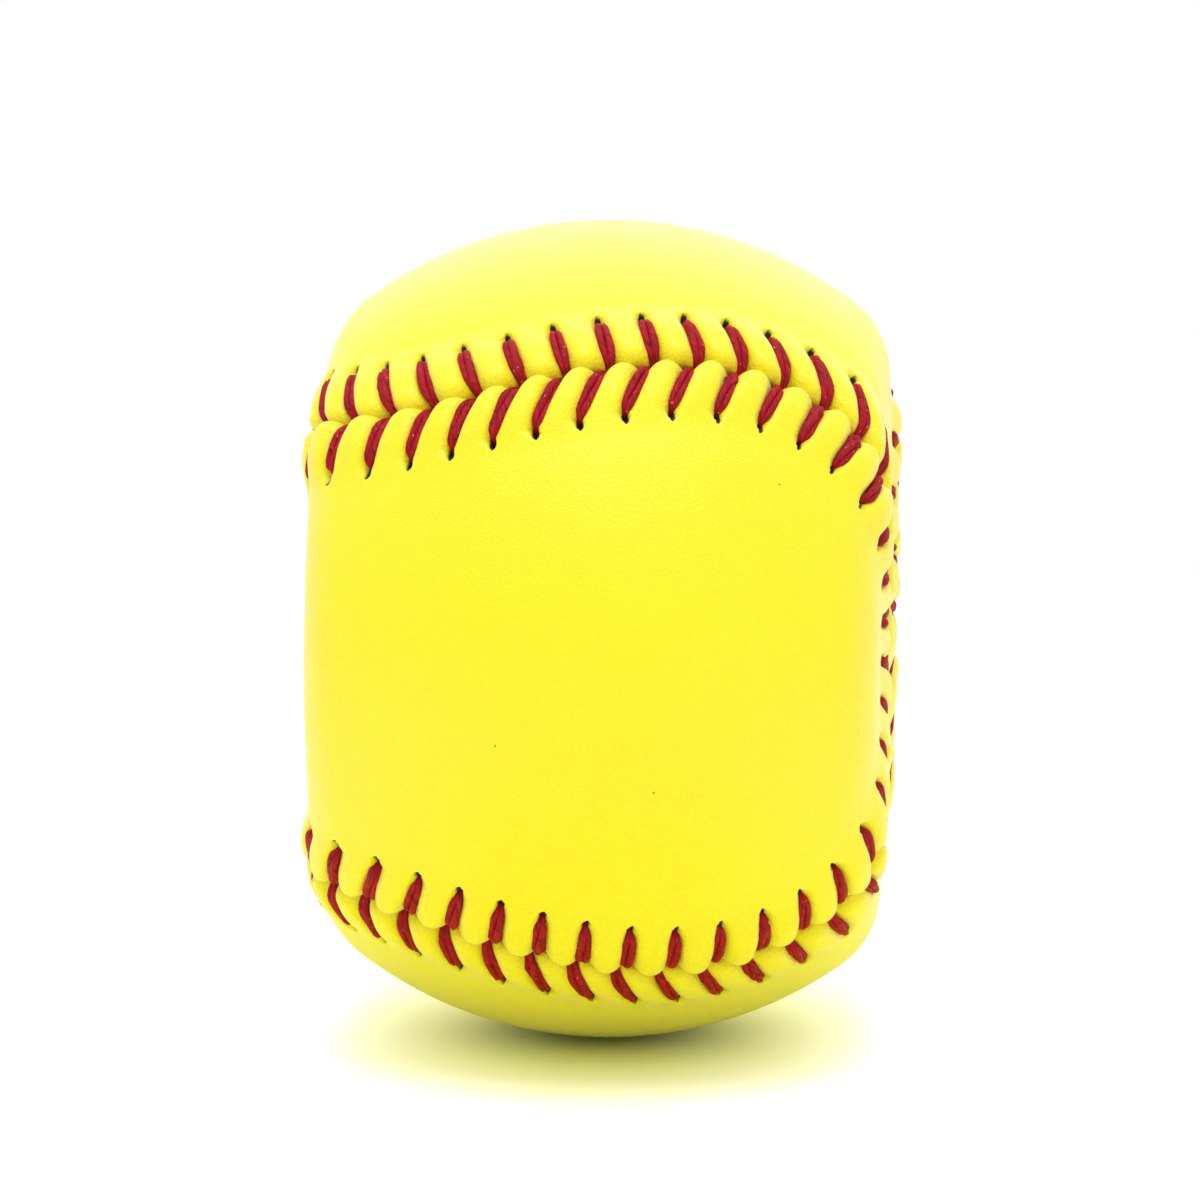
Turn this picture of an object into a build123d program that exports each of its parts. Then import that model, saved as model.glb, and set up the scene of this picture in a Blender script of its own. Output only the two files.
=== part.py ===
# Flat-sided softball: a moulded core under a laced two-panel leather cover.
# Millimetres. The origin is the centre of the ball, X is the axis through the two flat sides,
# -Y is the front and +Z is up. The ball stands on its round rim.
from build123d import *
import math
import os
from bisect import bisect_right

# Driving dimensions: the ball
ball_circumference = 304.8
flat_width = 65.6
corner_radius = 10.5
cover_thickness = 2.6

# The seam swings from one flat side to the other twice on its way round the ball.
seam_swing = 58.2
seam_skew = 20.7
seam_gap = 0.5
slit_overreach = 1.0

# Each leather edge is drawn up into a rounded lip beside the seam.
lip_radius = 3.4
lip_height = 1.2
lip_spacing = 0.6

# The lacing: two threads that cross in the seam and come up through punched holes.
stitch_count = 88
stitch_reach = 7.3
stitch_lead = 2.4
stitch_shift = 0.36
stitch_drift = 1.7
stitch_skew = 1.1
strand_spacing = 2.0
thread_diameter = 1.5
thread_clearance = 0.08
thread_floor_gap = 0.2
leg_rise = 0.1
crossing_depth = 0.6
hole_diameter = 2.0
hole_overreach = 1.0

# How finely the seam is measured and the skin is walked
seam_samples = 1600
slit_nodes = 132
walk_step = 0.6
tangent_step = 0.01

# Sizes that follow
ball_radius = ball_circumference / (2 * math.pi)
half_width = flat_width / 2
ring_offset = half_width - corner_radius
ring_radius = math.sqrt((ball_radius - corner_radius) ** 2 - ring_offset**2)
flat_edge_angle = math.atan2(ring_radius, half_width)
corner_edge_angle = math.atan2(ring_radius, ring_offset)
lip_offset = lip_radius + lip_spacing / 2
thread_radius = thread_diameter / 2
furrow_radius = thread_radius + thread_clearance
under_depth = cover_thickness - thread_radius - thread_floor_gap
hole_turn_depth = (under_depth - leg_rise) / 2


def skin_point(direction):
    """The point of the ball's skin in this direction from its centre."""
    aim = direction.normalized()
    around = math.hypot(aim.Y, aim.Z)
    angle = math.atan2(around, abs(aim.X))
    if angle < flat_edge_angle:
        return aim * (half_width / abs(aim.X))
    if angle < corner_edge_angle:
        along = ring_offset * abs(aim.X) + ring_radius * around
        spare = corner_radius**2 - ring_offset**2 - ring_radius**2
        return aim * (along + math.sqrt(along**2 + spare))
    return aim * ball_radius


def skin_normal(point):
    """The outward direction of the skin at one of its points."""
    around = math.hypot(point.Y, point.Z)
    angle = math.atan2(around, abs(point.X))
    if angle < flat_edge_angle:
        return Vector(math.copysign(1, point.X), 0, 0)
    if angle < corner_edge_angle:
        share = ring_radius / around
        ring_point = Vector(math.copysign(ring_offset, point.X), point.Y * share, point.Z * share)
        return (point - ring_point).normalized()
    return point.normalized()


def seam_point(turn):
    """The seam's point at a turn from 0 to 4 pi."""
    lean = math.radians(seam_swing) * math.cos(turn)
    bearing = turn / 2 + math.radians(seam_skew) * math.sin(2 * turn)
    level = math.cos(lean)
    return skin_point(Vector(math.sin(lean), -level * math.cos(bearing), level * math.sin(bearing)))


turns = [4 * math.pi * i / seam_samples for i in range(seam_samples + 1)]
distances = [0.0]
for start, end in zip(turns, turns[1:]):
    distances.append(distances[-1] + (seam_point(end) - seam_point(start)).length)
seam_length = distances[-1]
stitch_pitch = seam_length / stitch_count


def beside_seam(distance, offset):
    """A skin point beside the seam, its normal and the way off the seam.

    The offset is walked along the skin, square to the seam: towards the panel of the front and
    back lobes where it is positive, and towards the panel of the top and bottom lobes otherwise.
    """
    distance = distance % seam_length
    index = min(bisect_right(distances, distance), seam_samples) - 1
    share = (distance - distances[index]) / (distances[index + 1] - distances[index])
    turn = turns[index] + share * turns[1]
    point = seam_point(turn)
    normal = skin_normal(point)
    along = seam_point(turn + tangent_step) - seam_point(turn - tangent_step)
    off = normal.cross(along).normalized()
    steps = math.ceil(abs(offset) / walk_step)
    for _ in range(steps):
        point = skin_point(point + off * (offset / steps))
        normal = skin_normal(point)
        off = (off - normal * off.dot(normal)).normalized()
    return point, normal, off


def biarc(start, start_way, end, end_way):
    """Two arcs that leave the start and reach the end in the given directions."""
    chord = end - start
    bend = 2 * (1 - start_way.dot(end_way))
    pull = chord.dot(start_way + end_way)
    reach = (math.sqrt(pull**2 + bend * chord.dot(chord)) - pull) / bend
    middle = (start + end + (start_way - end_way) * reach) / 2
    middle_way = end - end_way * reach - start - start_way * reach
    first = TangentArc(start, middle, tangent=start_way, mode=Mode.PRIVATE)
    second = TangentArc(middle, end, tangent=middle_way, mode=Mode.PRIVATE)
    return [first, second]


def smooth_path(nodes):
    """The arcs through nodes, each a point and a direction."""
    arcs = []
    for (start, start_way), (end, end_way) in zip(nodes, nodes[1:]):
        arcs += biarc(start, start_way, end, end_way)
    return arcs


def ball_section(inset):
    """Half of the ball's section, inset from its skin, for a revolve about X."""
    radius = ball_radius - inset
    flat = half_width - inset
    share = radius / (ball_radius - corner_radius)
    corner = (ring_offset * share, ring_radius * share)
    mirrored_corner = (-corner[0], corner[1])
    with BuildSketch(Plane.XY) as section:
        with BuildLine():
            Polyline((-flat, ring_radius), (-flat, 0), (flat, 0), (flat, ring_radius))
            TangentArc((flat, ring_radius), corner, tangent=(0, 1))
            ThreePointArc(corner, (0, radius), mirrored_corner)
            TangentArc((-flat, ring_radius), mirrored_corner, tangent=(0, 1))
        make_face()
    return section.sketch


def hole_distance(stitch, side):
    """How far along the seam a stitch's hole lies: the leather stretches, so the holes drift."""
    swing = 4 * math.pi * stitch / stitch_count
    drift = stitch_drift * math.sin(2 * swing) - side * stitch_skew * math.sin(3 * swing)
    return (1 + side) * stitch_shift - stitch * stitch_pitch - drift


def dive_distance(stitch, side):
    """Where along the seam one leg of a stitch dives between the panels."""
    middle = (hole_distance(stitch, 1) + hole_distance(stitch, -1)) / 2
    return middle - stitch_lead + side * strand_spacing / 2


def leg_distance(stitch, side):
    """Where along the seam the middle of a leg lies."""
    return (hole_distance(stitch, side) + dive_distance(stitch, side)) / 2


def lip_path(side):
    """The closed path of the lip's centre along one side of the seam, with nodes between stitches."""
    points = []
    for stitch in range(0, stitch_count, 2):
        distance = (leg_distance(-stitch, side) + leg_distance(-stitch - 1, side)) / 2
        point, normal, _ = beside_seam(distance, side * lip_offset)
        points.append(point + normal * (lip_height - lip_radius))
    nodes = []
    for before, here, after in zip(points[-1:] + points, points, points[1:] + points[:1]):
        last, following = here - before, after - here
        way = last * (following.length / last.length) + following * (last.length / following.length)
        nodes.append((here, way.normalized()))
    return smooth_path(nodes + nodes[:1])


def stitch_nodes(stitch, side):
    """Four nodes of a thread: up the hole, over the lip, down the seam, under the other panel."""
    next_distance = hole_distance(stitch + 1, -side)
    seam_distance = dive_distance(stitch, side)
    hole, hole_normal, _ = beside_seam(hole_distance(stitch, side), side * stitch_reach)
    leg, leg_normal, _ = beside_seam(leg_distance(stitch, side), side * stitch_reach / 2)
    seam, seam_normal, _ = beside_seam(seam_distance, 0)
    under, under_normal, _ = beside_seam((seam_distance + next_distance) / 2, -side * stitch_reach / 2)
    next_hole, _, _ = beside_seam(next_distance, -side * stitch_reach)
    leg_way = along_skin(seam - hole, leg_normal)
    under_way = along_skin(next_hole - seam, under_normal)
    crossing_way = along_skin(next_hole - hole, seam_normal) - seam_normal
    return [
        (hole - hole_normal * hole_turn_depth, hole_normal),
        (leg + leg_normal * leg_rise, leg_way),
        (seam - seam_normal * crossing_depth, crossing_way.normalized()),
        (under - under_normal * under_depth, under_way),
    ]


def along_skin(way, normal):
    """The part of a direction that lies along the skin."""
    return (way - normal * way.dot(normal)).normalized()


def thread_nodes(first_side):
    """One thread's nodes, from its first hole to where it ends under the last stitch."""
    nodes = []
    for stitch in range(stitch_count):
        side = first_side if stitch % 2 == 0 else -first_side
        nodes += stitch_nodes(stitch, side)
    return nodes[:-1]


def hole_planes(side):
    """The planes of one panel's punched holes, on the skin and square to it."""
    planes = []
    for stitch in range(stitch_count):
        point, normal, _ = beside_seam(hole_distance(stitch, side), side * stitch_reach)
        planes.append(Plane(origin=point, z_dir=normal))
    return planes


def furrows(side):
    """One short tube across the lip for each stitch, which presses the leather down."""
    tubes = []
    for stitch in range(stitch_count):
        arcs = smooth_path(stitch_nodes(stitch, side)[:3])[1:3]
        start = arcs[0] @ 0
        with BuildPart() as furrow:
            with BuildSketch(Plane(origin=start, z_dir=arcs[0] % 0)):
                Circle(furrow_radius)
            sweep(path=arcs)
        tubes.append(furrow.part)
    return tubes


def slit_edge(side, height):
    """One closed edge of the slit that parts the two panels."""
    points = []
    for i in range(slit_nodes):
        point, normal, off = beside_seam(seam_length * i / slit_nodes, 0)
        points.append(point + normal * height + off * (side * seam_gap / 2))
    return Spline(*points, periodic=True, mode=Mode.PRIVATE)


# The core: one moulded ball with two flat sides
with BuildPart() as core:
    add(ball_section(cover_thickness))
    revolve(axis=Axis.X)
core.part.label = "core"

# The cover before it is parted along the seam
slit_top = lip_height + slit_overreach
slit_floor = -cover_thickness - slit_overreach
slit_corners = ((-1, slit_top), (1, slit_top), (1, slit_floor), (-1, slit_floor))
slit_edges = [slit_edge(side, height) for side, height in slit_corners]
slit_faces = []
for edge, neighbour in zip(slit_edges, slit_edges[1:] + slit_edges[:1]):
    slit_faces.append(Face.make_surface_from_curves(edge, neighbour))
with BuildPart() as cover:
    add(ball_section(0))
    revolve(axis=Axis.X)
    add(core.part, mode=Mode.SUBTRACT)
    add(Solid(Shell(slit_faces)), mode=Mode.SUBTRACT)
left_waist, right_waist = cover.solids().sort_by(Axis.X)


def build_panel(blank, side, label):
    """One leather panel: its blank, the lip along its edge, and the stitches' furrows and holes."""
    path = lip_path(side)
    with BuildPart() as panel:
        add(blank)
        with BuildSketch(Plane(origin=path[0] @ 0, z_dir=path[0] % 0)):
            Circle(lip_radius)
        sweep(path=path, clean=False)
        add(core.part, mode=Mode.SUBTRACT, clean=False)
        with Locations(*hole_planes(side)):
            Cylinder(hole_diameter / 2, 2 * (cover_thickness + hole_overreach), mode=Mode.SUBTRACT)
        add(furrows(side), mode=Mode.SUBTRACT, clean=False)
    leather = panel.solids().sort_by(SortBy.VOLUME)[-1]
    leather.label = label
    return leather


def build_thread(first_side, label):
    """One thread, whole from its first hole to its last stitch."""
    nodes = thread_nodes(first_side)
    with BuildPart() as thread:
        with BuildSketch(Plane(origin=nodes[0][0], z_dir=nodes[0][1])):
            Circle(thread_radius)
        sweep(path=smooth_path(nodes), clean=False)
    thread.part.label = label
    return thread.part


panel_front_back = build_panel(left_waist, 1, "cover_panel_front_back")
panel_top_bottom = build_panel(right_waist, -1, "cover_panel_top_bottom")
thread_first = build_thread(1, "lacing_thread_first")
thread_second = build_thread(-1, "lacing_thread_second")

os.makedirs("parts", exist_ok=True)
for piece in (core.part, panel_front_back, panel_top_bottom, thread_first, thread_second):
    export_step(piece, f"parts/{piece.label}.step")
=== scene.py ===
import math
import bpy
import numpy as np
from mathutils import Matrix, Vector, geometry


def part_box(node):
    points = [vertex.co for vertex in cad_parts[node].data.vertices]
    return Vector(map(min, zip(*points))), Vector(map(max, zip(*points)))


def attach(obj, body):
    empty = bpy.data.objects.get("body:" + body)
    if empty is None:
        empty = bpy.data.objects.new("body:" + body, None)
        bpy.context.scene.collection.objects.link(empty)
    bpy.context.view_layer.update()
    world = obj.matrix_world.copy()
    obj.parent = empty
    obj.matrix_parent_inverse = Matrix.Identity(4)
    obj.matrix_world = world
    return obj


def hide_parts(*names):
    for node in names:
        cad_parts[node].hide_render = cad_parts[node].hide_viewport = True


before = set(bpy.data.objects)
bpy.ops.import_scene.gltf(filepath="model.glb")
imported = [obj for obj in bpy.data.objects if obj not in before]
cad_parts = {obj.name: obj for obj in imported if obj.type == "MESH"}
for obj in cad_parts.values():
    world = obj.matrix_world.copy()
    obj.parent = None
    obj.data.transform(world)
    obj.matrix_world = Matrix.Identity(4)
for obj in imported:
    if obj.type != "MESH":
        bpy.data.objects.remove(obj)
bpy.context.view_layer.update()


# The core: a moulded polyurethane ball with two flat sides. The cover closes it in,
# so it keeps its own mesh and only takes the look of pale, fine foam.
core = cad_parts["core"]
_, core_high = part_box("core")
foam_colour = (0.57, 0.48, 0.30, 1)
foam_roughness = 0.8
foam_bump = 0.2
foam_pore_scale = 900


def add_node(tree, kind, inputs=(), **settings):
    """Adds a node; inputs pairs a socket's name or number with a value or with another socket."""
    node = tree.nodes.new(kind)
    for name, value in settings.items():
        setattr(node, name, value)
    for socket, value in inputs:
        if isinstance(value, Field):
            value = value.socket
        if isinstance(value, bpy.types.NodeSocket):
            tree.links.new(value, node.inputs[socket])
        else:
            node.inputs[socket].default_value = value
    return node


class Field:
    """A number socket of a node tree, so that a rule can be written as a sum."""

    def __init__(self, tree, socket):
        self.tree = tree
        self.socket = socket

    def do(self, operation, *values):
        """What a math node makes of this number and the others."""
        pairs = enumerate((self,) + values)
        node = add_node(self.tree, "ShaderNodeMath", pairs, operation=operation)
        return Field(self.tree, node.outputs[0])

    def __add__(self, other):
        return self.do("ADD", other)

    def __sub__(self, other):
        return self.do("SUBTRACT", other)

    def __mul__(self, other):
        return self.do("MULTIPLY", other)

    def __truediv__(self, other):
        return self.do("DIVIDE", other)

    def __neg__(self):
        return self * -1.0

    __radd__ = __add__
    __rmul__ = __mul__

    def __rsub__(self, other):
        return -self + other

    def ramp(self, low, high):
        """Rises smoothly from 0 at low to 1 at high."""
        inputs = (("Value", self), ("From Min", low), ("From Max", high))
        node = add_node(self.tree, "ShaderNodeMapRange", inputs, interpolation_type="SMOOTHSTEP")
        return Field(self.tree, node.outputs["Result"])


def new_material(name):
    """A new material, its node tree and its shader."""
    material = bpy.data.materials.new(name)
    material.use_nodes = True
    return material, material.node_tree, material.node_tree.nodes["Principled BSDF"]


core_material, tree, shader = new_material("core_foam")
place = add_node(tree, "ShaderNodeTexCoord").outputs["Object"]
pores = add_node(tree, "ShaderNodeTexNoise", (("Vector", place), ("Scale", foam_pore_scale)))
bump = add_node(tree, "ShaderNodeBump", (("Strength", foam_bump), ("Height", pores.outputs["Fac"])))
tree.links.new(bump.outputs["Normal"], shader.inputs["Normal"])
shader.inputs["Base Color"].default_value = foam_colour
shader.inputs["Roughness"].default_value = foam_roughness
core.data.materials.clear()
core.data.materials.append(core_material)


# The two cover panels: optic yellow pebbled leather, cut as two waisted lobes that meet along a
# figure-eight seam. The lacing draws each edge up into a lip, puffed between the stitches and
# pressed into furrows under them, so the leather's shape follows the stitches.
cover_thickness = 0.0026
corner_radius = 0.0105
ball_radius = core_high.z + cover_thickness
half_width = core_high.x + cover_thickness
seam_swing = math.radians(58.2)
seam_skew = math.radians(20.7)
stitch_count = 88
stitch_reach = 0.0068
stitch_lead = 0.0020
stitch_lead_swing = 0.0004
strand_spacing = 0.0012
strand_spacing_swing = 0.0005
stitch_shift = 0.0003
stitch_drift = 0.0017
stitch_skew = 0.0019
seam_samples = 12000
turn_step = 0.0005
walk_step = 0.0004
ring_offset = half_width - corner_radius
ring_radius = math.sqrt((ball_radius - corner_radius) ** 2 - ring_offset ** 2)
flat_edge = math.atan2(ring_radius, half_width)
corner_edge = math.atan2(ring_radius, ring_offset)


def unit(vectors):
    """The vectors at length one."""
    return vectors / np.linalg.norm(vectors, axis=-1, keepdims=True)


def skin_points(directions):
    """Where rays from the middle meet the smooth skin: ball, rounded corner or flat."""
    aim = unit(directions)
    side = np.abs(aim[:, 0])
    around = np.hypot(aim[:, 1], aim[:, 2])
    angle = np.arctan2(around, side)
    middle = ring_offset * side + ring_radius * around
    spare = corner_radius ** 2 - ring_offset ** 2 - ring_radius ** 2
    corner = middle + np.sqrt(np.maximum(middle ** 2 + spare, 0))
    flat = half_width / np.maximum(side, 1e-6)
    reach = np.where(angle < flat_edge, flat, np.where(angle < corner_edge, corner, ball_radius))
    return aim * reach[:, None]


def skin_normals(points):
    """The outward directions of the smooth skin."""
    across = np.sign(points[:, 0])
    around = np.hypot(points[:, 1], points[:, 2])
    ring = points.copy()
    ring[:, 0] = across * ring_offset
    ring[:, 1:] *= (ring_radius / np.maximum(around, 1e-9))[:, None]
    angle = np.arctan2(around, np.abs(points[:, 0]))
    flat = np.stack([across, 0 * across, 0 * across], axis=1)
    corner = points - ring
    on_flat = (angle < flat_edge)[:, None]
    on_corner = (angle < corner_edge)[:, None]
    return unit(np.where(on_flat, flat, np.where(on_corner, corner, points)))


def seam_points(turns):
    """Points of the figure-eight seam; it goes round once in two full turns."""
    tilt = seam_swing * np.cos(turns)
    round_angle = turns / 2 + seam_skew * np.sin(2 * turns)
    flat_part = np.cos(tilt)
    spots = [np.sin(tilt), -flat_part * np.cos(round_angle), flat_part * np.sin(round_angle)]
    return skin_points(np.stack(spots, axis=1))


seam_turns = np.linspace(0, 4 * math.pi, seam_samples + 1)
seam_steps = np.linalg.norm(np.diff(seam_points(seam_turns), axis=0), axis=1)
seam_distances = np.concatenate([[0], np.cumsum(seam_steps)])
seam_length = seam_distances[-1]
stitch_pitch = seam_length / stitch_count


def beside_seam(distances, offset):
    """Points on the skin beside the seam, with the skin's normal and the way off the seam."""
    turns = np.interp(distances % seam_length, seam_distances, seam_turns)
    ahead = unit(seam_points(turns + turn_step) - seam_points(turns - turn_step))
    points = seam_points(turns)
    normals = skin_normals(points)
    away = np.cross(normals, ahead)
    steps = max(1, math.ceil(abs(offset) / walk_step))
    for _ in range(steps):
        points = skin_points(points + away * (offset / steps))
        normals = skin_normals(points)
        away = unit(away - normals * np.sum(away * normals, axis=1, keepdims=True))
    return points, normals, away


def hole_distances(stitches, side):
    """How far along the seam the holes lie: the leather stretches, so they drift."""
    swing = 4 * math.pi * stitches / stitch_count
    drift = stitch_drift * np.sin(2 * swing) - side * stitch_skew * np.sin(3 * swing)
    return (1 + side) * stitch_shift - stitches * stitch_pitch - drift


def dive_distances(stitches, side):
    """Where along the seam the legs dive between the panels."""
    middle = (hole_distances(stitches, 1) + hole_distances(stitches, -1)) / 2
    swing = np.sin(4 * math.pi * stitches / stitch_count)
    lead = stitch_lead - stitch_lead_swing * swing
    spacing = strand_spacing + strand_spacing_swing * swing
    return middle - lead + side * spacing / 2


def new_mesh(name, points, faces, values):
    """An object at the origin with the given points and faces, and values kept on its points."""
    mesh = bpy.data.meshes.new(name)
    mesh.from_pydata(points.tolist(), [], faces)
    for label, numbers in values.items():
        kind = "FLOAT_VECTOR" if numbers.ndim == 2 else "FLOAT"
        field = "vector" if numbers.ndim == 2 else "value"
        attribute = mesh.attributes.new(label, kind, "POINT")
        attribute.data.foreach_set(field, numbers.astype(np.float32).ravel())
    piece = bpy.data.objects.new(name, mesh)
    bpy.context.scene.collection.objects.link(piece)
    return piece


def new_tree(name, inputs):
    """A geometry tree with a mesh in and a mesh out, and its named numbers."""
    tree = bpy.data.node_groups.new(name, "GeometryNodeTree")
    tree.interface.new_socket("Geometry", in_out="INPUT", socket_type="NodeSocketGeometry")
    for label in inputs:
        tree.interface.new_socket(label, in_out="INPUT", socket_type="NodeSocketFloat")
    tree.interface.new_socket("Geometry", in_out="OUTPUT", socket_type="NodeSocketGeometry")
    source = tree.nodes.new("NodeGroupInput")
    numbers = {label: Field(tree, source.outputs[label]) for label in inputs}
    return tree, source.outputs["Geometry"], numbers


def close_tree(tree, shape, material):
    """Ends a geometry tree: what it made becomes real, smooth and takes its material."""
    real = add_node(tree, "GeometryNodeRealizeInstances", (("Geometry", shape),)).outputs[0]
    smooth = add_node(tree, "GeometryNodeSetShadeSmooth", (("Geometry", real),)).outputs[0]
    painted = add_node(tree, "GeometryNodeSetMaterial", (("Geometry", smooth), ("Material", material)))
    tree.links.new(painted.outputs[0], tree.nodes.new("NodeGroupOutput").inputs[0])


def run_tree(piece, tree, numbers):
    """Runs a geometry tree with its numbers on a piece, and leaves a plain mesh."""
    modifier = piece.modifiers.new(tree.name, "NODES")
    modifier.node_group = tree
    for item in tree.interface.items_tree:
        if item.in_out == "INPUT" and item.name in numbers:
            modifier[item.identifier] = numbers[item.name]
    bpy.context.view_layer.update()
    result = piece.evaluated_get(bpy.context.evaluated_depsgraph_get())
    mesh = bpy.data.meshes.new_from_object(result)
    piece.modifiers.remove(modifier)
    piece.data = mesh


def stored(tree, label, kind="FLOAT"):
    """A value kept on the points of a mesh."""
    node = add_node(tree, "GeometryNodeInputNamedAttribute", (("Name", label),), data_type=kind)
    return node.outputs["Attribute"]


def store(tree, shape, label, value):
    """Keeps a value on the points of a mesh."""
    inputs = (("Geometry", shape), ("Name", label), ("Value", value))
    return add_node(tree, "GeometryNodeStoreNamedAttribute", inputs, domain="POINT").outputs[0]


def scaled(tree, vector, amount):
    """A vector times a number."""
    node = add_node(tree, "ShaderNodeVectorMath", ((0, vector),), operation="SCALE")
    tree.links.new(amount.socket, node.inputs["Scale"])
    return node.outputs[0]


def summed(tree, first, second):
    """Two vectors added."""
    inputs = ((0, first), (1, second))
    return add_node(tree, "ShaderNodeVectorMath", inputs, operation="ADD").outputs[0]


def moved(tree, shape, move):
    """A shape with its points moved."""
    inputs = (("Geometry", shape), ("Offset", move))
    return add_node(tree, "GeometryNodeSetPosition", inputs).outputs[0]


def random_swing(tree, index, seed):
    """A random number from -1 to 1 for each index."""
    inputs = ((2, -1.0), (3, 1.0), ("ID", index), ("Seed", seed))
    node = add_node(tree, "FunctionNodeRandomValue", inputs, data_type="FLOAT")
    return Field(tree, node.outputs[1])


lip_numbers = {
    "Lip Height": 0.00115,
    "Lip Start": 0.0098,
    "Lip Top": 0.0030,
    "Furrow Depth": 0.0006,
    "Furrow Share": 0.16,
    "Furrow End": 0.0086,
    "Furrow Fade": 0.0022,
    "Edge Fullness": 1.9,
    "Fullness": 4.5,
    "Fullness End": 0.005,
    "Skew": 0.88,
    "Edge Width": 0.0016,
    "Edge Depth": 0.0024,
    "Overlap": 0.00035,
    "Overlap End": 0.0045,
    "Furrow Lean": 0.6,
    "Puff Lean": 1.0,
    "Hole Width": 0.00045,
    "Hole Length": 0.0011,
    "Hole Shift": 0.0005,
    "Hole Depth": 0.0014,
    "Hole Floor": 0.45,
    "Unevenness": 0.22,
    "Seed": 3,
}
small_holes = {"Hole Width": 0.0004, "Hole Length": 0.0008, "Hole Shift": 0.0002, "Seed": 5}


def leather_tree(material):
    """Draws a panel's edge up into its lip, with furrows, puffs and stitch holes."""
    tree, shape, number = new_tree("drawn_up_lip", lip_numbers)
    stitch = Field(tree, stored(tree, "stitch"))
    off = Field(tree, stored(tree, "off_seam"))
    outside = Field(tree, stored(tree, "outside"))
    puff_index = stitch.do("FLOOR")
    chance = random_swing(tree, puff_index, number["Seed"])
    along_puff = (stitch - puff_index).do("POWER", number["Skew"])
    from_furrow = 1.0 - (along_puff * 2.0 - 1.0).do("ABSOLUTE")
    open_part = (from_furrow - number["Furrow Share"]) / (1.0 - number["Furrow Share"])
    open_part = open_part.do("MAXIMUM", 0.0)
    more_fullness = number["Fullness"] - number["Edge Fullness"]
    fullness = number["Edge Fullness"] + more_fullness * off.ramp(0.0, number["Fullness End"])
    puff = 1.0 - (1.0 - open_part).do("POWER", fullness)
    laced = 1.0 - off.ramp(number["Furrow End"] - number["Furrow Fade"], number["Furrow End"])
    full = 1.0 - laced * (1.0 - puff)
    raised = (1.0 - off.ramp(number["Lip Top"], number["Lip Start"])) * number["Lip Height"]
    raised = raised * (1.0 + chance * laced * number["Unevenness"])
    height = raised * full - number["Furrow Depth"] * laced * (1.0 - full)
    edge = (1.0 - off / number["Edge Width"]).do("MAXIMUM", 0.0)
    drop = number["Edge Depth"] * (1.0 - (1.0 - edge * edge).do("SQRT"))
    near = 1.0 - off.ramp(0.0, number["Overlap End"])
    lean_swing = number["Furrow Lean"] + number["Puff Lean"]
    lean = near * number["Overlap"] * (number["Furrow Lean"] - lean_swing * puff)
    hole_along = Field(tree, stored(tree, "from_hole")) / number["Hole Width"]
    hole_across = (off - stitch_reach - number["Hole Shift"]) / number["Hole Length"]
    hole_gap = (hole_along * hole_along + hole_across * hole_across).do("SQRT")
    hole = 1.0 - hole_gap.ramp(number["Hole Floor"], 1.0)
    height = (height - drop - hole * number["Hole Depth"]) * outside
    move = summed(tree, scaled(tree, stored(tree, "lift", "FLOAT_VECTOR"), height),
                  scaled(tree, stored(tree, "away", "FLOAT_VECTOR"), lean * outside))
    # The hole's place is kept for the dent here and for its painted shade in the material.
    shape = store(tree, shape, "hole_along", hole_along)
    shape = store(tree, shape, "hole_across", hole_across)
    # The furrow mask is kept for the painted shade in the leather's material.
    shape = store(tree, shape, "furrow", laced * (1.0 - puff))
    shape = store(tree, shape, "edge", edge)
    shape = moved(tree, shape, move)
    close_tree(tree, shape, material)
    return tree


columns_per_stitch = 18
coarse_per_stitch = 3
fill_spacing = 0.0019
fill_margin = 0.0011
fill_seam_samples = 1200
edge_start = 0.0001
edge_span = 0.0014
edge_rows = 9
edge_crowding = 1.7
row_bands = ((0.0018, 0.0060, 12), (0.0062, 0.0084, 12), (0.0088, 0.0124, 8))
inside_start = 0.0045
inside_rows = 5
fill_off_seam = 0.03
fill_lane = 0.5
chart_merge = 1e-7


def panel_rows():
    """How far from the seam the rows of points lie: close at the edge and round the holes."""
    edge = edge_start + edge_span * np.linspace(0, 1, edge_rows) ** edge_crowding
    return np.concatenate([edge] + [np.linspace(*band) for band in row_bands])


def ring_quads(first, second, count):
    """Faces between two rings of the same count of points."""
    faces = []
    for i in range(count):
        after = (i + 1) % count
        faces.append((first + i, first + after, second + after, second + i))
    return faces


def ring_fans(fine, fine_count, coarse, coarse_count):
    """Triangles between a fine ring and a coarse one."""
    faces = []
    share = fine_count // coarse_count
    half = share // 2
    for i in range(coarse_count):
        after = (i + 1) % coarse_count
        for j in range(share):
            here = fine + i * share + j
            following = fine + (i * share + j + 1) % fine_count
            faces.append((here, following, coarse + (i if j < half else after)))
            if j == half - 1:
                faces.append((following, coarse + after, coarse + i))
    return faces


def fill_points(side):
    """Evenly spread points on one panel, inside its laced edge."""
    count = int(4 * math.pi * ball_radius ** 2 / fill_spacing ** 2)
    index = np.arange(count)
    level = 1 - (2 * index + 1) / count
    angle = index * math.pi * (3 - math.sqrt(5))
    wide = np.sqrt(1 - level ** 2)
    spots = skin_points(np.stack([wide * np.cos(angle), wide * np.sin(angle), level], axis=1))
    lots = np.linspace(0, seam_length, fill_seam_samples, endpoint=False)
    seam, _, away = beside_seam(lots, 0.0)
    inner, _, _ = beside_seam(lots, side * panel_rows()[-1] + side * fill_margin)
    gaps = np.linalg.norm(spots[:, None] - seam[None], axis=2)
    nearest = np.argmin(gaps, axis=1)
    on_side = side * np.sum((spots - seam[nearest]) * away[nearest], axis=1) > 0
    clear = np.min(gaps, axis=1)
    ring_clear = np.min(np.linalg.norm(inner[:, None] - seam[None], axis=2), axis=1).mean()
    return spots[on_side & (clear > ring_clear + fill_margin)]


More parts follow.
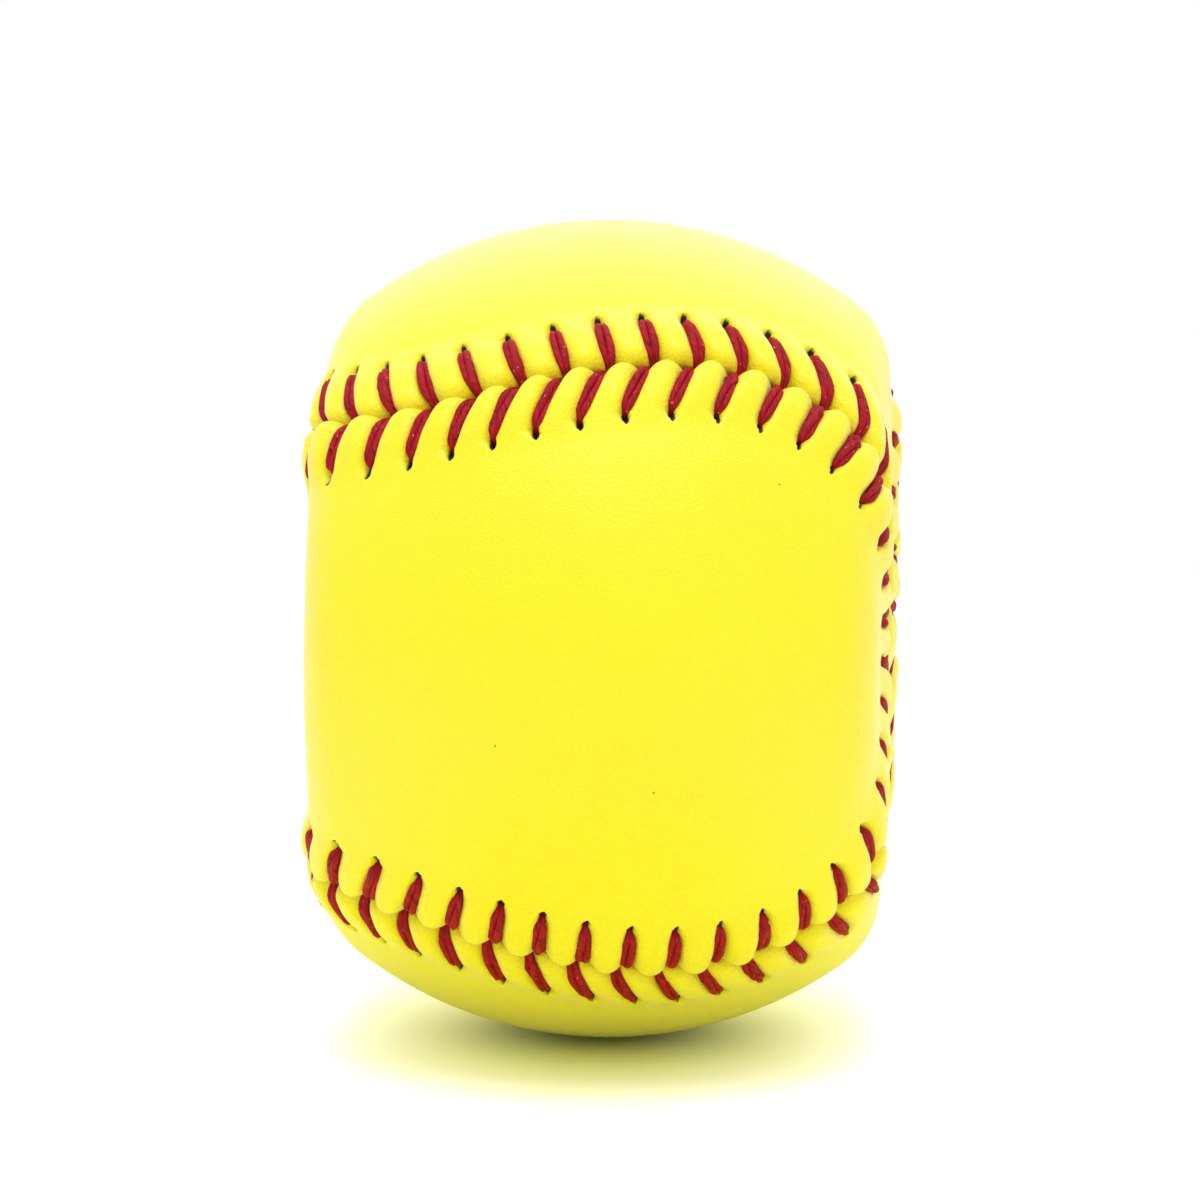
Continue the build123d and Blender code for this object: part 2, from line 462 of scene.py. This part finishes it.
def panel_mesh(side, name):
    """One panel's closed mesh before it is drawn up: laced rows, even fill, and a plain inside."""
    fine = stitch_count * columns_per_stitch
    coarse = stitch_count * coarse_per_stitch
    lanes = np.arange(fine) / columns_per_stitch
    coarse_lanes = np.arange(coarse) / coarse_per_stitch
    points, lift, away, off, lane, outside, faces = [], [], [], [], [], [], []
    total = 0

    def add_ring(stitches, offset, depth, is_outside):
        nonlocal total
        spot, normal, way = beside_seam(hole_distances(stitches, side), side * offset)
        points.append(spot - normal * depth)
        lift.append(normal)
        away.append(way * side)
        off.append(np.full(len(stitches), offset))
        lane.append(stitches)
        outside.append(np.full(len(stitches), float(is_outside)))
        total += len(stitches)
        return total - len(stitches)

    def add_fill(spots, depth, is_outside):
        nonlocal total
        normal = skin_normals(spots)
        points.append(spots - normal * depth)
        lift.append(normal)
        away.append(0 * normal)
        off.append(np.full(len(spots), fill_off_seam))
        lane.append(np.full(len(spots), fill_lane))
        outside.append(np.full(len(spots), float(is_outside)))
        total += len(spots)
        return total - len(spots)

    rows = panel_rows()
    rings = [add_ring(lanes, offset, 0.0, True) for offset in rows]
    for first, second in zip(rings, rings[1:]):
        faces += ring_quads(first, second, fine)
    border = rows[-1] + fill_margin
    outer = add_ring(coarse_lanes, border, 0.0, True)
    faces += ring_fans(rings[-1], fine, outer, coarse)
    spots = fill_points(side)
    outer_fill = add_fill(spots, 0.0, True)
    depth = cover_thickness
    inner_edge = add_ring(lanes, rows[0], depth, False)
    faces += ring_quads(inner_edge, rings[0], fine)
    inner_near = add_ring(coarse_lanes, rows[0] + fill_spacing, depth, False)
    inner_rings = [inner_near]
    for offset in np.linspace(inside_start, border, inside_rows):
        inner_rings.append(add_ring(coarse_lanes, offset, depth, False))
    faces += [face[::-1] for face in ring_fans(inner_edge, fine, inner_near, coarse)]
    for first, second in zip(inner_rings, inner_rings[1:]):
        faces += [face[::-1] for face in ring_quads(first, second, coarse)]
    inner_fill = add_fill(spots, depth, False)
    if side == 1:
        faces = [face[::-1] for face in faces]

    border_spots, _, _ = beside_seam(hole_distances(coarse_lanes, side), side * border)
    chart_spots = unit(np.concatenate([border_spots, spots]))
    chart = chart_spots[:, 1:] / (1 - side * chart_spots[:, :1])
    loop = [(i, (i + 1) % coarse) for i in range(coarse)]
    chart_points = [Vector(spot) for spot in chart.tolist()]
    filled = geometry.delaunay_2d_cdt(chart_points, loop, [], 1, chart_merge)
    sources = [found[0] for found in filled[3]]
    for triangle in filled[2]:
        corners = [sources[corner] for corner in triangle]
        here = chart_spots[corners]
        if np.dot(np.cross(here[1] - here[0], here[2] - here[0]), here.sum(axis=0)) < 0:
            corners.reverse()
        faces.append([outer + i if i < coarse else outer_fill + i - coarse for i in corners])
        corners.reverse()
        last = inner_rings[-1]
        faces.append([last + i if i < coarse else inner_fill + i - coarse for i in corners])
    lane = np.concatenate(lane)
    off = np.concatenate(off)
    local_pitch = hole_distances(lane - 0.5, side) - hole_distances(lane + 0.5, side)
    lead = (hole_distances(lane, side) - dive_distances(lane, side)) / local_pitch
    values = {
        "lift": np.concatenate(lift),
        "away": np.concatenate(away),
        "off_seam": off,
        "from_hole": np.abs(lane - np.round(lane)) * local_pitch,
        "stitch": lane - lead * np.clip(1 - off / stitch_reach, 0, None),
        "outside": np.concatenate(outside),
    }
    return new_mesh(name, np.concatenate(points), faces, values)


def group_tree(name, outputs):
    """A shader group that puts out named numbers."""
    group = bpy.data.node_groups.new(name, "ShaderNodeTree")
    for label in outputs:
        group.interface.new_socket(label, in_out="OUTPUT", socket_type="NodeSocketFloat")
    return group, group.nodes.new("NodeGroupOutput")


def use_group(tree, group):
    """Puts a shader group into a material and returns its named outputs."""
    node = add_node(tree, "ShaderNodeGroup", node_tree=group)
    return {socket.name: Field(tree, socket) for socket in node.outputs}


pebble_scale = 2700
pebble_wobble = 0.0003
pebble_smoothness = 0.35
pebble_share = 0.75
crease_scale = pebble_scale * 1.7
crease_share = 0.4
mottle_scale = 55
speck_scale = 230
speck_middle = 0.015
speck_edge = 0.045
speck_rarity = 0.8

grain_group, grain_out = group_tree("leather_grain", ("Pebble", "Mottle", "Speck"))
place = add_node(grain_group, "ShaderNodeTexCoord").outputs["Object"]
wobble = add_node(grain_group, "ShaderNodeTexNoise", (("Vector", place), ("Scale", pebble_scale / 3)))
bend = add_node(grain_group, "ShaderNodeVectorMath",
                ((0, wobble.outputs["Color"]), (1, (pebble_wobble,) * 3), (2, place)),
                operation="MULTIPLY_ADD")
inputs = (("Vector", bend.outputs[0]), ("Scale", pebble_scale), ("Smoothness", pebble_smoothness))
cells = add_node(grain_group, "ShaderNodeTexVoronoi", inputs, feature="SMOOTH_F1")
creases = add_node(grain_group, "ShaderNodeTexNoise",
                   (("Vector", place), ("Scale", crease_scale), ("Detail", 3)))
pebble = (1.0 - Field(grain_group, cells.outputs["Distance"])) * pebble_share
pebble = pebble + Field(grain_group, creases.outputs["Fac"]) * crease_share
clouds = add_node(grain_group, "ShaderNodeTexNoise",
                  (("Vector", place), ("Scale", mottle_scale), ("Detail", 4), ("Roughness", 0.6)))
dots = add_node(grain_group, "ShaderNodeTexVoronoi", (("Vector", place), ("Scale", speck_scale)))
lucky = add_node(grain_group, "ShaderNodeSeparateColor", (("Color", dots.outputs["Color"]),))
speck = 1.0 - Field(grain_group, dots.outputs["Distance"]).ramp(speck_middle, speck_edge)
speck = speck * Field(grain_group, lucky.outputs[0]).do("GREATER_THAN", speck_rarity)
mottle = Field(grain_group, clouds.outputs["Fac"])
for label, value in (("Pebble", pebble), ("Mottle", mottle), ("Speck", speck)):
    grain_group.links.new(value.socket, grain_out.inputs[label])


def kept_value(tree, label):
    """A value kept on the mesh, read in a material."""
    node = add_node(tree, "ShaderNodeAttribute", attribute_name=label)
    return Field(tree, node.outputs["Fac"])


def mix_colour(tree, share, first, second):
    """One colour going over to another."""
    inputs = (("Factor", share), (6, first), (7, second))
    return add_node(tree, "ShaderNodeMix", inputs, data_type="RGBA").outputs[2]


leather_colour = (0.90, 0.78, 0.0015, 1)
leather_pale = (0.91, 0.80, 0.006, 1)
# A deeper yellow: the grain's own darker pits, and painted shade in the furrows under the stitches.
deep_grain_and_furrow_shade = (0.82, 0.72, 0.0003, 1)
leather_raw = (0.55, 0.50, 0.06, 1)
# Near black: painted shade inside the stitch holes, and the leather's dark dust specks.
hole_shade_and_speck_colour = (0.008, 0.007, 0.002, 1)
leather_roughness = 0.4
leather_gloss = 0.4
leather_sheen = 0.25
leather_sheen_roughness = 0.5
leather_bump = 0.9
leather_bump_height = 0.0001
mottle_range = (0.35, 0.75)
pebble_range = (0.35, 0.75)
raw_range = (0.8, 1.0)
hole_shade_range = (0.8, 1.05)
deep_between_pebbles = 0.3
painted_shade_in_furrows = 0.8
raw_at_edge = 0.6
speck_strength = 0.6

leather_material, tree, shader = new_material("yellow_leather")
grain = use_group(tree, grain_group)
colour = mix_colour(tree, grain["Mottle"].ramp(*mottle_range), leather_colour, leather_pale)
between = 1.0 - grain["Pebble"].ramp(*pebble_range)
colour = mix_colour(tree, between * deep_between_pebbles, colour, deep_grain_and_furrow_shade)
# Painted shade: the furrows under the stitches take the deeper yellow.
colour = mix_colour(tree, kept_value(tree, "furrow") * painted_shade_in_furrows, colour, deep_grain_and_furrow_shade)
raw_edge = kept_value(tree, "edge").ramp(*raw_range)
colour = mix_colour(tree, raw_edge * raw_at_edge, colour, leather_raw)
# Painted shade: the stitch holes are painted near black, the shade inside them.
hole_along = kept_value(tree, "hole_along")
hole_across = kept_value(tree, "hole_across")
hole_gap = (hole_along * hole_along + hole_across * hole_across).do("SQRT")
colour = mix_colour(tree, 1.0 - hole_gap.ramp(*hole_shade_range), colour, hole_shade_and_speck_colour)
# The specks are dust, in the same near black.
colour = mix_colour(tree, grain["Speck"] * speck_strength, colour, hole_shade_and_speck_colour)
inputs = (("Strength", leather_bump), ("Distance", leather_bump_height), ("Height", grain["Pebble"]))
bump = add_node(tree, "ShaderNodeBump", inputs)
tree.links.new(colour, shader.inputs["Base Color"])
tree.links.new(bump.outputs["Normal"], shader.inputs["Normal"])
shader.inputs["Roughness"].default_value = leather_roughness
shader.inputs["Specular IOR Level"].default_value = leather_gloss
shader.inputs["Sheen Weight"].default_value = leather_sheen
shader.inputs["Sheen Roughness"].default_value = leather_sheen_roughness

lip_tree = leather_tree(leather_material)
panels = ((1, "cover_panel_front_back", {}), (-1, "cover_panel_top_bottom", small_holes))
for side, name, own_numbers in panels:
    panel = panel_mesh(side, name + "_leather")
    run_tree(panel, lip_tree, {**lip_numbers, **own_numbers})
    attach(panel, "root")
    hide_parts(name)


# The two lacing threads: red waxed cord of three plies in a slack twist. Each V of the seam is one
# leg of each thread; a leg comes up out of its hole, lies in its furrow over the lip and dives
# between the panels. Every other leg on a panel is the same thread.
leg_points = 17
leg_hole_share = 0.16
leg_seam_share = 0.38
leg_overreach = 1.04
leg_numbers = {
    "Ply Radius": 0.00047,
    "Ply Spread": 0.00052,
    "Flatness": 0.6,
    "Twist": 0.28,
    "Tip Share": 0.36,
    "Belly Start": 0.09,
    "Belly Span": 0.78,
    "Unevenness": 0.35,
    "Thickness Swing": 0.1,
    "Seed": 11,
}
ply_count = 3
ply_sides = 10
ply_rings = 16
leg_depth_in_hole = 0.0016
leg_depth_in_seam = 0.0022
leg_height = 0.00015


def leg_paths(first_side, name):
    """The middle lines of one thread's legs, from hole to seam, with the skin's normals."""
    along = np.linspace(0, 1, leg_points)
    points = np.zeros((leg_points, stitch_count, 3))
    lift = np.zeros((leg_points, stitch_count, 3))
    stitches = np.arange(stitch_count)
    for i, share in enumerate(along):
        into_hole = max(0.0, 1 - share / leg_hole_share) ** 2
        into_seam = max(0.0, 1 - (1 - share) / leg_seam_share) ** 2
        height = leg_height - (leg_height + leg_depth_in_hole) * into_hole
        height -= (leg_height + leg_depth_in_seam) * into_seam
        reach = 1.0 - share * leg_overreach
        for side in (1, -1):
            mine = (stitches % 2 == 0) == (side == first_side)
            start = hole_distances(stitches[mine], side)
            end = dive_distances(stitches[mine], side)
            spot, normal, _ = beside_seam(start + (end - start) * share, side * stitch_reach * reach)
            points[i, mine] = spot + normal * height
            lift[i, mine] = normal
    mesh_points = points.transpose(1, 0, 2).reshape(-1, 3)
    edges = [(leg * leg_points + i, leg * leg_points + i + 1)
             for leg in range(stitch_count) for i in range(leg_points - 1)]
    values = {
        "lift": lift.transpose(1, 0, 2).reshape(-1, 3),
        "leg": np.repeat(stitches.astype(float), leg_points),
    }
    piece = new_mesh(name, mesh_points, [], values)
    piece.data.edges.add(len(edges))
    piece.data.edges.foreach_set("vertices", np.array(edges).ravel())
    return piece


def thread_tree(material):
    """Makes three twisted plies along each leg, thin at the hole and full over the lip."""
    tree, shape, number = new_tree("twisted_leg", leg_numbers)
    legs = add_node(tree, "GeometryNodeMeshToCurve", ((0, shape),)).outputs[0]
    inputs = (("Curve", legs), ("Count", ply_rings))
    legs = add_node(tree, "GeometryNodeResampleCurve", inputs).outputs[0]
    line = add_node(tree, "GeometryNodeSplineParameter")
    share = Field(tree, line.outputs["Factor"])
    leg = Field(tree, stored(tree, "leg"))
    lift = stored(tree, "lift", "FLOAT_VECTOR")
    ahead = add_node(tree, "GeometryNodeInputTangent").outputs[0]
    inputs = ((0, ahead), (1, lift))
    aside = add_node(tree, "ShaderNodeVectorMath", inputs, operation="CROSS_PRODUCT").outputs[0]
    chance = random_swing(tree, leg, number["Seed"])
    belly = ((share * number["Belly Span"] + number["Belly Start"]) * math.pi).do("SINE")
    swell = number["Tip Share"] + (1.0 - number["Tip Share"]) * belly
    swell = swell * (1.0 + number["Thickness Swing"] * chance)
    shape = store(tree, legs, "along", Field(tree, line.outputs["Length"]))
    plies = []
    for ply in range(ply_count):
        angle = (share * number["Twist"] + ply / ply_count + chance * number["Unevenness"]) * math.tau
        spread = swell * number["Ply Spread"]
        rise = angle.do("COSINE") * spread * number["Flatness"]
        shift = angle.do("SINE") * spread
        move = summed(tree, scaled(tree, lift, rise), scaled(tree, aside, shift))
        path = moved(tree, shape, move)
        ring = add_node(tree, "GeometryNodeCurvePrimitiveCircle", (("Resolution", ply_sides),))
        tree.links.new(number["Ply Radius"].socket, ring.inputs["Radius"])
        around = Field(tree, add_node(tree, "GeometryNodeSplineParameter").outputs["Factor"])
        ring = store(tree, ring.outputs["Curve"], "around", around + float(ply))
        inputs = (("Curve", path), ("Profile Curve", ring), ("Scale", swell), ("Fill Caps", True))
        plies.append(add_node(tree, "GeometryNodeCurveToMesh", inputs).outputs[0])
    joined = tree.nodes.new("GeometryNodeJoinGeometry")
    for ply in plies:
        tree.links.new(ply, joined.inputs[0])
    close_tree(tree, joined.outputs[0], material)
    return tree


thread_red = (0.34, 0.003, 0.012, 1)
thread_bright = (0.56, 0.011, 0.030, 1)
thread_dark = (0.09, 0.002, 0.006, 1)
thread_lint = (0.80, 0.62, 0.58, 1)
thread_roughness = 0.65
thread_gloss = 0.2
fibres_along = 700
fibres_around = 9
fibre_slant = 260.0
fibre_leg_step = 7.3
fibre_roughness = 0.65
fibre_bump = 0.6
fibre_bump_height = 0.00008
dark_range = (0.3, 0.5)
bright_range = (0.5, 0.72)
lint_scale = 2600
lint_range = (0.71, 0.76)
lint_strength = 0.75

thread_material, tree, shader = new_material("red_thread")
along = kept_value(tree, "along")
around = kept_value(tree, "around")
leg = kept_value(tree, "leg")
across_fibres = (around + along * fibre_slant) * fibres_around
inputs = (("X", along * fibres_along), ("Y", across_fibres), ("Z", leg * fibre_leg_step))
fibre_place = add_node(tree, "ShaderNodeCombineXYZ", inputs).outputs[0]
inputs = (("Vector", fibre_place), ("Scale", 1.0), ("Detail", 3), ("Roughness", fibre_roughness))
fibre = Field(tree, add_node(tree, "ShaderNodeTexNoise", inputs).outputs["Fac"])
place = add_node(tree, "ShaderNodeTexCoord").outputs["Object"]
inputs = (("Vector", place), ("Scale", lint_scale), ("Detail", 2))
lint = Field(tree, add_node(tree, "ShaderNodeTexNoise", inputs).outputs["Fac"]).ramp(*lint_range)
colour = mix_colour(tree, fibre.ramp(*dark_range), thread_dark, thread_red)
colour = mix_colour(tree, fibre.ramp(*bright_range), colour, thread_bright)
colour = mix_colour(tree, lint * lint_strength, colour, thread_lint)
inputs = (("Strength", fibre_bump), ("Distance", fibre_bump_height), ("Height", fibre))
bump = add_node(tree, "ShaderNodeBump", inputs)
tree.links.new(colour, shader.inputs["Base Color"])
tree.links.new(bump.outputs["Normal"], shader.inputs["Normal"])
shader.inputs["Roughness"].default_value = thread_roughness
shader.inputs["Specular IOR Level"].default_value = thread_gloss

lacing_tree = thread_tree(thread_material)
for first_side, name in ((1, "lacing_thread_first"), (-1, "lacing_thread_second")):
    thread = leg_paths(first_side, name + "_plies")
    run_tree(thread, lacing_tree, {**leg_numbers, "Seed": leg_numbers["Seed"] + first_side})
    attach(thread, "root")
    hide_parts(name)


# The table under the ball: white, wide enough to fill the picture, and it keeps the shadow.
# Close to the ball it has a painted yellow bounce light, the yellow that the leather would throw on
# it;
# rays other than the camera's see it over a wider patch, so the ball's underside shows it as a painted
# reflection. Away from the ball a painted white that only the camera sees fades out near the ball and
# whitens the shadow's faint outer part.
floor_size = 0.8
floor_colour = (1, 1, 1, 1)
floor_roughness = 0.9
floor_gloss = 0.1
# Painted bounce light: a yellow on the table near the ball, in an ellipse round the contact.
painted_bounce_colour = (0.93, 1.0, 0.10, 1)
painted_bounce_width = 0.040
painted_bounce_depth = 0.062
painted_bounce_spread = 1.5
# Painted light: a white on the table that only the camera sees, none near the ball.
painted_white_beyond_shadow = 0.3
half = floor_size / 2
floor_outline = ((-half, -half), (half, -half), (half, half), (-half, half))
floor_spots = np.array([(x, y, -ball_radius) for x, y in floor_outline])
floor = new_mesh("white_table", floor_spots, [(0, 1, 2, 3)], {})
floor_material, tree, shader = new_material("white_table")
place = add_node(tree, "ShaderNodeTexCoord").outputs["Object"]
place = add_node(tree, "ShaderNodeSeparateXYZ", (("Vector", place),))
painted_bounce_x = Field(tree, place.outputs["X"]) / painted_bounce_width
painted_bounce_y = Field(tree, place.outputs["Y"]) / painted_bounce_depth
seen = Field(tree, add_node(tree, "ShaderNodeLightPath").outputs["Is Camera Ray"])
# Rays other than the camera's see the painted yellow over a wider patch: a painted reflection on the
# ball's underside.
painted_bounce_gap = (painted_bounce_x * painted_bounce_x + painted_bounce_y * painted_bounce_y).do("SQRT") / (1.0 + (1.0 - seen) * painted_bounce_spread)
painted_bounce = 1.0 - painted_bounce_gap.ramp(0.0, 1.0)
tree.links.new(mix_colour(tree, painted_bounce, floor_colour, painted_bounce_colour), shader.inputs["Base Color"])
# Painted light: the camera-only white fades out near the ball and whitens the shadow's faint outer
# part.
tree.links.new(((1.0 - painted_bounce) * seen * painted_white_beyond_shadow).socket, shader.inputs["Emission Strength"])
shader.inputs["Emission Color"].default_value = floor_colour
shader.inputs["Roughness"].default_value = floor_roughness
shader.inputs["Specular IOR Level"].default_value = floor_gloss
floor.data.materials.append(floor_material)


# The light: a bright white studio, with wide lamps above, in front and behind. What is round about
# is white too, and gives less light near the level of the table than overhead.
world = bpy.data.worlds.new("white_studio")
bpy.context.scene.world = world
world.use_nodes = True
tree = world.node_tree
surround = tree.nodes["Background"]
surround.inputs["Color"].default_value = (1, 1, 1, 1)
low_strength = 0.45
high_strength = 0.95
high_level = 0.6
way = add_node(tree, "ShaderNodeTexCoord").outputs["Generated"]
way = add_node(tree, "ShaderNodeSeparateXYZ", (("Vector", way),))
path = add_node(tree, "ShaderNodeLightPath").outputs
overhead = Field(tree, way.outputs["Z"]).ramp(0.0, high_level)
strength = overhead * (high_strength - low_strength) + low_strength
for ray in ("Is Camera Ray", "Is Glossy Ray", "Is Transmission Ray"):
    strength = strength.do("MAXIMUM", Field(tree, path[ray]))
tree.links.new(strength.socket, surround.inputs["Strength"])


def add_lamp(name, place, size, power):
    """A square lamp that shines from a place towards the ball."""
    lamp = bpy.data.lights.new(name, "AREA")
    lamp.size = size
    lamp.energy = power
    piece = bpy.data.objects.new(name, lamp)
    piece.location = place
    piece.rotation_euler = (-Vector(place)).to_track_quat("-Z", "Y").to_euler()
    bpy.context.scene.collection.objects.link(piece)


add_lamp("overhead_lamp", (0.0, -0.3, 1.1), 0.6, 6.3)
add_lamp("front_lamp", (0.0, -1.3, 0.8), 1.2, 0.8)
add_lamp("back_lamp", (0.0, 1.2, 0.9), 1.4, 8.0)


# The camera stands where the photograph was taken from: low, close to straight in front, and a
# hair out of level. It looks at the middle of the ball through a long lens.
camera_turn = math.radians(3.808)
camera_rise = math.radians(7.764)
camera_roll = math.radians(0.535)
camera_distance = 0.698
camera = bpy.data.objects.new("camera", bpy.data.cameras.new("camera"))
camera.data.sensor_width = 36
camera.data.lens = 176.07
camera.data.shift_x = -0.00735
camera.data.shift_y = 0.02375
camera.data.clip_start = 0.01
level = math.cos(camera_rise) * camera_distance
camera.location = (level * math.sin(camera_turn), -level * math.cos(camera_turn),
                   math.sin(camera_rise) * camera_distance)
camera.rotation_euler = (-camera.location).to_track_quat("-Z", "Y").to_euler()
camera.rotation_euler.rotate_axis("Z", camera_roll)
bpy.context.scene.collection.objects.link(camera)
bpy.context.scene.camera = camera
bpy.context.scene.view_settings.view_transform = "Standard"
